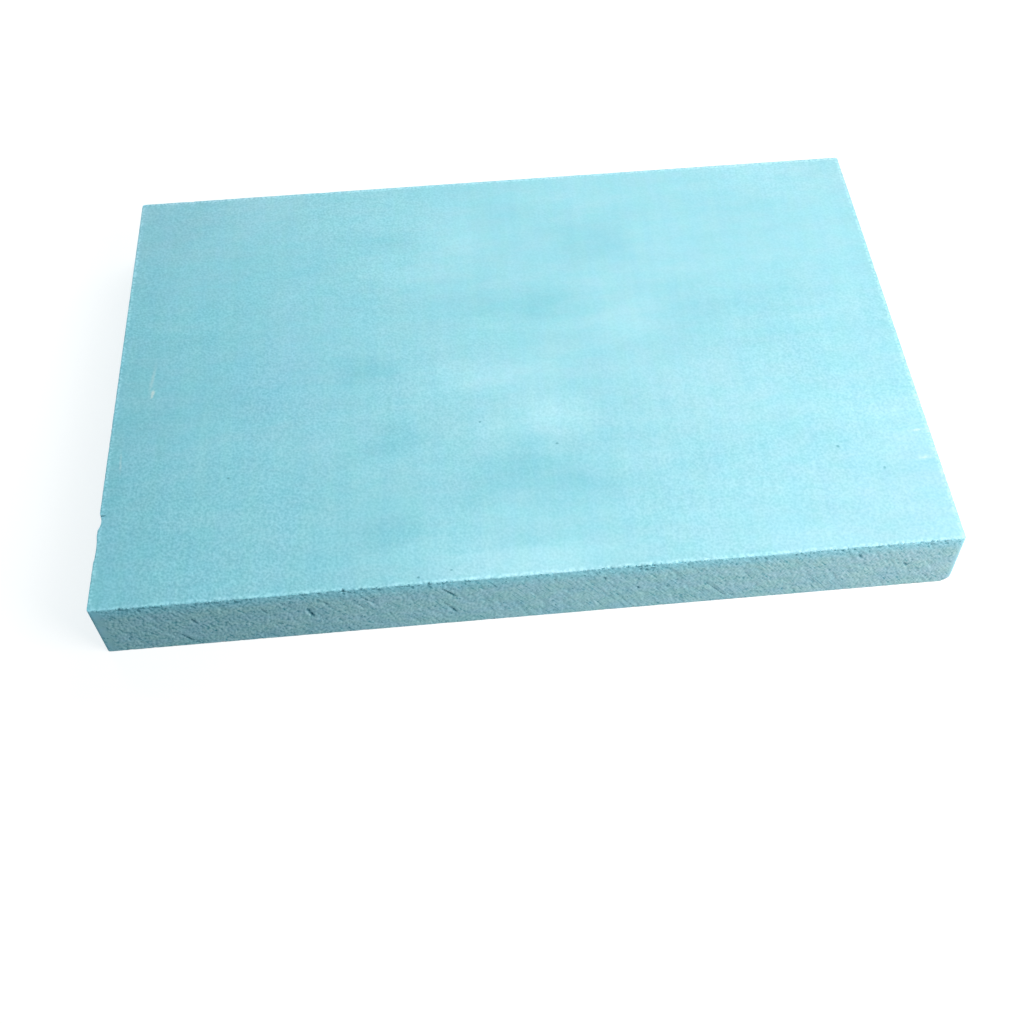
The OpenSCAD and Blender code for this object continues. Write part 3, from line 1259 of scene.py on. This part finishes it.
@dataclass(frozen=True)
class SawnFinish:
    """The sawn faces: greyer foam with slanting streaks of torn cells, scores and tears, and painted shade in
    its dark pits and nicks and in its tears.
    """

    pale: Colour = (0.345, 0.649, 0.723)
    deep: Colour = (0.297, 0.609, 0.688)
    clouds: Noise = Noise((0.4, 0, 0), mm(12, 7), 3.0)
    rim: Colour = (0.262, 0.688, 0.824)
    rim_share: float = 0.75
    rim_ramp: Ramp = (*mm(-7.0, -0.5), 0.0, 1.0)
    edge_ramp: Ramp = (*mm(-1.6, -0.3), 0.0, 1.0)
    # Painted shade inside torn cells, pits and nicks
    pit_shade: Colour = (0.060, 0.270, 0.350)
    pit_share: float = 0.72
    # Painted shade at the bottoms of the front face's tears and nicks, darker the deeper they are cut
    gash: Colour = (0.035, 0.160, 0.220)
    # A patch in the middle of the front, paler and with weaker streaks
    middle_patch: Smear = Smear(-15, -100, 130, 40)
    middle_patch_full: float = 0.7
    middle_patch_share: Colour = (0.085, 0.075, 0.075)
    middle_patch_strength: float = 0.79
    # Painted light: greyer towards the right end, where the light is strongest
    painted_light_greyer_share: Colour = (0.04, -0.045, -0.045)
    painted_light_greyer_ramp: Ramp = (*mm(30, 150), 0.0, 1.0)
    green: Colour = (0.996, 1.012, 0.968)
    purple: Colour = (1.004, 0.988, 1.032)
    hue: Noise = Noise((0.1, 0.5, 0), mm(9, 6), 2.0)
    contrast: Colour = (1.75, 1.02, 0.90)
    laid: Noise = Noise((0, 0, 0), mm(3.3, 0.68), 0.6, -54.0)
    flecks: Noise = Noise((0.7, 0.3, 0), mm(0.98, 1.40), 0.4, -15.0)
    laid_ramp: Ramp = (0.6, 1.0, 0.36, 0.13)
    strength_ramp: Ramp = (0.0, 1.0, 0.885, 0.87)
    streak_ramp: Ramp = (0.0, 1.0, 0.88, 1.02)
    # Painted shade where the streaks are lowest
    hole_shade_ramp: Ramp = (0.28, 0.39, 0.55, 0.0)
    score: Noise = Noise((0.15, 0.6, 0), mm(9.0, 0.75), 0.0, -55.0)
    score_gaps: Noise = Noise((0.8, 0.2, 0), mm(1.6, 1.6), 1.0)
    score_ramp: Ramp = (0.24, 0.36, 1.0, 0.0)
    gap_ramp: Ramp = (0.35, 0.6, 0.0, 1.0)
    score_share: float = 0.30
    pit_place: Sizes = (0.2, 0.1, 0)
    pit_slope: float = 70.0
    pit_size: Sizes = mm(2.2, 1.25)
    pit_stray: float = 0.7 * MM
    pit_stray_size: Sizes = mm(0.9, 0.9)
    pit_thinning: Noise = Noise((0.9, 0.4, 0), mm(3.5, 3.5), 1.0)
    thinning_ramp: Ramp = (0.35, 0.7, 0.05, 1.0)
    pit_soft: float = 0.14
    pit_reach: float = 0.30
    pit_ramp: Ramp = (0.0, 1.0, 0.75, 1.05)
    rim_pit_ramp: Ramp = (0.0, 1.2, 0.08, 0.30)
    nick_size: Sizes = mm(1.3, 0.85)
    nick_ramp: Ramp = (0.0, 1.8, 0.16, 0.92)
    front_y: float = -100.0 * MM
    gash_length: float = 0.62
    gash_stray: float = 0.9 * MM
    gash_stray_size: Sizes = mm(1.3, 1.3, 1.3)
    gash_edge: Pair = (0.05, 0.35)
    gash_ramp: Ramp = (0.42, 0.6, 1.0, 0.35)
    least_dark: float = 0.15
    dark_per_mm: float = 0.75
    # Tears, how far each one's dark bottom reaches in, and its width as a share of the tear's
    gash_shapes: tuple[tuple[tuple[Tear, ...], float, float], ...] = (
        (GASHES, 3.0 * MM, 0.5),
        (NICKS, 1.0 * MM, 0.62),
    )
    torn_most: Smear = Smear(-150, -100, 330, 110)
    rough_full: float = 0.5

    def rough(self, sheet: FoamSheet) -> Socket:
        """Returns how roughly the saw cut: 1 at the front left corner, falling to 0 away from it."""
        return self.torn_most.laid(sheet, sheet.place, self.rough_full, 0.0, 1.0)

    def streaks(self, sheet: FoamSheet) -> Socket:
        """Works out the torn foam's relief: flecks, and streaks laid down the slope.

        Args:
            sheet: The foam's sheet.

        Returns:
            The relief, about 0.5 and weaker in a patch in the middle of the front.
        """
        laid, flecks = self.laid.on(sheet, sheet.rim_place), self.flecks.on(sheet, sheet.rim_place)
        rough = self.rough(sheet)
        share = sheet.ramp(rough, *self.laid_ramp)
        blend = sheet.math("MULTIPLY_ADD", sheet.math("SUBTRACT", laid, flecks), share, flecks)
        middle_patch = self.middle_patch.laid(sheet, sheet.place, self.middle_patch_full, 1.0, self.middle_patch_strength)
        return sheet.drawn(blend, sheet.times(sheet.ramp(rough, *self.strength_ramp), middle_patch))

    def scores(self, sheet: FoamSheet) -> Socket:
        """Returns the saw's long thin scores: the lowest lines of a stretched noise, broken up."""
        line, gaps = self.score.on(sheet, sheet.rim_place), self.score_gaps.on(sheet, sheet.rim_place)
        return sheet.times(sheet.ramp(line, *self.score_ramp), sheet.ramp(gaps, *self.gap_ramp))

    def pits(self, sheet: FoamSheet, size: Sizes, reach: Socket) -> Socket:
        """Works out where whole cells have come out.

        A hollow is the ground within reach of a scattered cell's middle, where the colour paints the
        shade inside it. A slow noise thins the pits out over some stretches.

        Args:
            sheet: The foam's sheet.
            size: Mean spacing of the cells, along the slope and across it.
            reach: How far a pit reaches, as a share of the spacing.

        Returns:
            How much of a hollow lies at each place, from 0 to 1.
        """
        ragged = sheet.warped(sheet.rim_place, self.pit_stray_size, self.pit_stray)
        distance = sheet.cells(sheet.placed(ragged, self.pit_place, size, (0.0, 0.0, -self.pit_slope)))
        thinning = self.pit_thinning.on(sheet, sheet.rim_place)
        reach = sheet.times(sheet.ramp(thinning, *self.thinning_ramp), reach)
        return sheet.ramp(sheet.math("SUBTRACT", reach, distance), 0.0, self.pit_soft)

    def gash_shade(self, sheet: FoamSheet, streaks: Socket) -> Socket:
        """Works out the painted shade at the bottoms of the front face's tears and nicks, broken by the
        streaks.

        Each is a soft spot stretched along its slope, on coordinates that stray a little, and is
        the darker the deeper it is cut.

        Args:
            sheet: The foam's sheet.
            streaks: The streaks' relief.

        Returns:
            How dark each place is, from 0 to 1.
        """
        ragged = sheet.warped(sheet.place, self.gash_stray_size, self.gash_stray)
        dark = 0.0
        for tears, reach, width in self.gash_shapes:
            for tear in tears:
                size = (self.gash_length * tear.length, reach, width * tear.width)
                middle = (tear.along, tear.depth / 2 + self.front_y, tear.up)
                spot = sheet.spot(sheet.placed(ragged, middle, size, (0.0, tear.slope, 0.0)))
                darkest = min(self.least_dark + self.dark_per_mm * tear.depth / MM, 1.0)
                dark = sheet.math("MAXIMUM", dark, sheet.ramp(spot, *self.gash_edge, 0.0, darkest))
        return sheet.times(dark, sheet.ramp(streaks, *self.gash_ramp))

    def base(self, sheet: FoamSheet, at_rim: Socket) -> Socket:
        """Works out the sawn foam's own colour, cloudy and bluer towards the top edge.

        Args:
            sheet: The foam's sheet.
            at_rim: How near each place is to the top edge.

        Returns:
            The colour, paler in a patch in the middle of the front, and greyer to the right as painted
            light, where the light is strongest.
        """
        cloudy = sheet.either(self.clouds.on(sheet, sheet.rim_place), self.deep, self.pale)
        hue = sheet.either(self.hue.on(sheet, sheet.rim_place), self.green, self.purple)
        base = sheet.mix(sheet.times(at_rim, self.rim_share), sheet.tinted(cloudy, hue), self.rim)
        middle_patch = self.middle_patch.laid(sheet, sheet.place, self.middle_patch_full, 0.0, 1.0)
        base = sheet.shaded(base, middle_patch, self.middle_patch_share)
        # Painted light: greyer towards the right end
        return sheet.shaded(base, sheet.ramp(sheet.along, *self.painted_light_greyer_ramp), self.painted_light_greyer_share)

    def colour(self, sheet: FoamSheet, streaks: Socket, worn: Socket) -> Socket:
        """Works out the colour of the sawn faces.

        Args:
            sheet: The foam's sheet.
            streaks: The streaks' relief.
            worn: How ragged the top edge is.

        Returns:
            The colour, without the tears.
        """
        at_rim, at_edge = sheet.ramp(sheet.height, *self.rim_ramp), sheet.ramp(sheet.height, *self.edge_ramp)
        rough = self.rough(sheet)
        amount = sheet.times(sheet.centred(streaks), sheet.ramp(rough, *self.streak_ramp))
        amount = sheet.math("MULTIPLY_ADD", self.scores(sheet), -self.score_share, amount)
        colour = sheet.shaded(self.base(sheet, at_rim), amount, self.contrast)
        # Painted shade where the streaks are lowest, then in the pits and in the nicks along the worn top
        # edge
        colour = sheet.mix(sheet.ramp(streaks, *self.hole_shade_ramp), colour, self.pit_shade)
        reach = sheet.math("ADD", sheet.times(at_rim, sheet.ramp(worn, *self.rim_pit_ramp)), self.pit_reach)
        pits = self.pits(sheet, self.pit_size, sheet.times(reach, sheet.ramp(rough, *self.pit_ramp)))
        nicks = self.pits(sheet, self.nick_size, sheet.times(at_edge, sheet.ramp(worn, *self.nick_ramp)))
        return sheet.mix(sheet.times(sheet.math("MAXIMUM", pits, nicks), self.pit_share), colour, self.pit_shade)


@dataclass(frozen=True)
class FoamFinish:
    """Rigid blue foam, planed on the broad faces and sawn round the rim."""

    planed: PlanedFinish = PlanedFinish()
    sawn: SawnFinish = SawnFinish()
    planed_relief: float = 0.13 * MM
    sawn_relief: float = 0.33 * MM
    # Paler upright corners: partly foam worn smooth, partly a painted highlight on their rounding
    rubbed_share: Colour = (0.05, 0.08, 0.10)
    torn_shade_ramp: Ramp = (0.05, 0.5, 0.0, 0.75)
    sawn_ramp: Ramp = (0.0, 0.12, 0.0, 1.0)
    scored_ramp: Ramp = (0.0, 0.6, 0.0, 1.0)
    fray: Noise = Noise((0.5, 0.5, 0), mm(0.8, 0.8, 0.8), 1.0)
    fray_reach: float = 2.64 * MM
    most_frayed: float = 0.6 * MM
    clean_edge: float = 0.35 * MM
    edge_soft: float = 0.1 * MM
    roughness: float = 0.9
    specular: float = 0.2

    def edge(self, sheet: FoamSheet, worn: Socket) -> Socket:
        """Works out where the sawn faces end at the top edge.

        A worn edge is frayed, by a fine noise. Where it is little worn, the planed colour reaches
        a little way down the face.

        Args:
            sheet: The foam's sheet.
            worn: How ragged the top edge is.

        Returns:
            1 below the end, and 0 above it.
        """
        fray = sheet.times(sheet.centred(self.fray.on(sheet, sheet.rim_place)), self.fray_reach, worn)
        end = sheet.math("ADD", fray, sheet.ramp(worn, 0.0, 1.0, -self.clean_edge, 0.0))
        over = sheet.math("SUBTRACT", sheet.height, end)
        return sheet.ramp(over, -self.edge_soft, self.edge_soft, 1.0, 0.0)

    def material(self) -> bpy.types.Material:
        """Builds the foam's material: both finishes, and the marks laid over the two of them.

        Returns:
            The material.
        """
        material = bpy.data.materials.new("rigid_foam")
        sheet = FoamSheet.of(material)
        sawn, scored, rubbed, torn, worn = map(sheet.carried, Pattern)
        sawn = sheet.times(sawn, self.edge(sheet, worn))
        grain, strength = self.planed.grain(sheet), self.planed.strength(sheet)
        streaks = sheet.drawn(self.sawn.streaks(sheet), sheet.ramp(scored, *self.scored_ramp))
        planed_colour = self.planed.colour(sheet, grain, strength)
        sawn_colour = self.sawn.colour(sheet, streaks, worn)
        colour = sheet.mix(sheet.ramp(sawn, *self.sawn_ramp), planed_colour, sawn_colour)
        # Painted shade in the tears, the darker the deeper they are cut
        colour = sheet.mix(sheet.ramp(torn, *self.torn_shade_ramp), colour, self.sawn.pit_shade)
        # Painted shade at the bottoms of the front face's tears and nicks
        colour = sheet.mix(self.sawn.gash_shade(sheet, streaks), colour, self.sawn.gash)
        # Paler upright corners, partly a painted highlight
        colour = sheet.shaded(colour, rubbed, self.rubbed_share)
        planed_height = sheet.times(grain, strength, self.planed_relief)
        rise = sheet.math("SUBTRACT", sheet.times(streaks, self.sawn_relief), planed_height)
        relief = sheet.math("MULTIPLY_ADD", sawn, rise, planed_height)
        normal = sheet.node("Bump", Height=relief, Strength=1.0, Distance=1.0).outputs[0]
        finish = {"Roughness": self.roughness, "Specular_IOR_Level": self.specular}
        shader = sheet.node("BsdfPrincipled", Base_Color=colour, Normal=normal, **finish)
        sheet.node("OutputMaterial", Surface=shader.outputs[0])
        return material


@dataclass(frozen=True)
class Viewpoint:
    """The camera: where it stands, which way it looks, and the lens and shift that frame the block."""

    place: Sizes = (-0.013810, -0.343555, 0.418319)
    aim: Sizes = (0.050289, 0.619317, -0.783529)
    roll: float = -0.808
    lens_mm: float = 47.460
    shift: Pair = (-0.0362, -0.0884)

    def build(self) -> bpy.types.Object:
        """Makes the scene's camera.

        Returns:
            The camera.
        """
        data = bpy.data.cameras.new("camera")
        data.lens = self.lens_mm
        data.shift_x, data.shift_y = self.shift
        camera = linked("camera", data)
        level = Vector(self.aim).to_track_quat("-Z", "Y").to_matrix().to_4x4()
        roll = Matrix.Rotation(math.radians(self.roll), 4, "Z")
        camera.matrix_world = Matrix.Translation(self.place) @ level @ roll
        bpy.context.scene.camera = camera
        return camera


@dataclass(frozen=True)
class SoftLamp:
    """A square lamp that shines at the block; brightness is what it adds to the top, 1 being full."""

    name: str
    place: Sizes
    size: float
    brightness: float
    colour: Colour = (1.0, 1.0, 1.0)

    def build(self) -> bpy.types.Object:
        """Makes the lamp.

        Its power is brightness * pi^2 * d^3 / z, which makes a white level face at the origin,
        a distance d away and z below, as bright as stated.

        Returns:
            The lamp.
        """
        distance = Vector(self.place).length
        data = bpy.data.lights.new(self.name, "AREA")
        data.size = self.size
        data.color = self.colour
        data.energy = self.brightness * math.pi**2 * distance**3 / self.place[2]
        lamp = linked(self.name, data)
        lamp.location = self.place
        lamp.rotation_euler = (-Vector(self.place)).to_track_quat("-Z", "Y").to_euler()
        lamp.visible_camera = False
        return lamp


@dataclass(frozen=True)
class Studio:
    """A pale floor under the block, soft lamps and a white surround."""

    lamps: tuple[SoftLamp, ...] = (
        SoftLamp("key_lamp", (0.31, -0.26, 0.28), 0.35, 0.51, (1.0, 0.84, 0.78)),
        SoftLamp("top_lamp", (0.15, 0.32, 0.35), 0.35, 0.34, (1.0, 0.90, 0.82)),
        SoftLamp("back_lamp", (-0.60, 0.70, 0.25), 0.40, 0.05),
    )
    ambient: float = 0.28
    ambient_colour: Colour = (0.66, 1.03, 1.17)
    floor_half: float = 6.0
    floor_grey: float = 0.45
    glow_ramp: Ramp = (0.25, 0.6, 0.76, 1.0)

    def build(self) -> None:
        """Makes the lamps, the floor and the surround."""
        for lamp in self.lamps:
            lamp.build()
            LOG.info("%s: brightness %.2f", lamp.name, lamp.brightness)
        self.floor()
        self.surround()

    def floor(self) -> bpy.types.Object:
        """Makes the floor, a square at the height that the block stands on.

        Returns:
            The floor.
        """
        half = self.floor_half
        corners = [(-half, -half, 0.0), (half, -half, 0.0), (half, half, 0.0), (-half, half, 0.0)]
        mesh = bpy.data.meshes.new("floor")
        mesh.from_pydata(corners, [], [(0, 1, 2, 3)])
        mesh.materials.append(self.floor_material())
        floor = linked("floor", mesh)
        return floor

    def floor_material(self) -> bpy.types.Material:
        """Builds the floor's material: grey to other rays, and lifted to white for the camera.

        The camera sees the grey's own light, with the block's shadow in it, plus a glow that
        rises with the distance from the block until the floor is as white as the surround.

        Returns:
            The material.
        """
        material = bpy.data.materials.new("pale_floor")
        sheet = NodeSheet.of(material)
        away = sheet.node("VectorMath", {"operation": "LENGTH"}, Vector=sheet.place).outputs["Value"]
        glow = sheet.times(sheet.ramp(away, *self.glow_ramp), self.seen(sheet))
        grey = sheet.node("BsdfDiffuse", Color=(self.floor_grey,) * 3 + (1.0,))
        light = sheet.node("Emission", Strength=glow)
        both = sheet.node("AddShader", Shader=grey.outputs[0], Shader_001=light.outputs[0])
        sheet.node("OutputMaterial", Surface=both.outputs[0])
        return material

    def surround(self) -> bpy.types.World:
        """Makes the surround: white where it is seen, and a level of plain light elsewhere.

        Returns:
            The world.
        """
        world = bpy.data.worlds.new("surround")
        sheet = NodeSheet.of(world)
        seen = self.seen(sheet)
        strength = sheet.math("MULTIPLY_ADD", seen, 1.0 - self.ambient, self.ambient)
        colour = sheet.mix(seen, self.ambient_colour, (1.0, 1.0, 1.0))
        background = sheet.node("Background", Color=colour, Strength=strength)
        sheet.node("OutputWorld", Surface=background.outputs[0])
        bpy.context.scene.world = world
        return world

    @staticmethod
    def seen(sheet: NodeSheet) -> Socket:
        """Picks out the rays that show the background itself: camera, glossy and transmission.

        Args:
            sheet: The sheet of the floor's material or of the world.

        Returns:
            1 for those rays, 0 for the others.
        """
        path = sheet.node("LightPath").outputs
        seen = sheet.math("MAXIMUM", path["Is Camera Ray"], path["Is Glossy Ray"])
        return sheet.math("MAXIMUM", seen, path["Is Transmission Ray"])


def main() -> None:
    """Builds the camera, the studio and the block, and reports each."""
    logging.basicConfig(level=logging.INFO, format="%(name)s: %(message)s")
    bpy.context.scene.view_settings.view_transform = "Standard"
    Viewpoint().build()
    Studio().build()
    block = FoamBlock(*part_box(NODE)).build(FoamFinish())
    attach(block, "root")
    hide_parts(NODE)
    LOG.info("%s: %d points, %d faces", block.name, len(block.data.vertices), len(block.data.polygons))


if __name__ == "__main__":
    main()
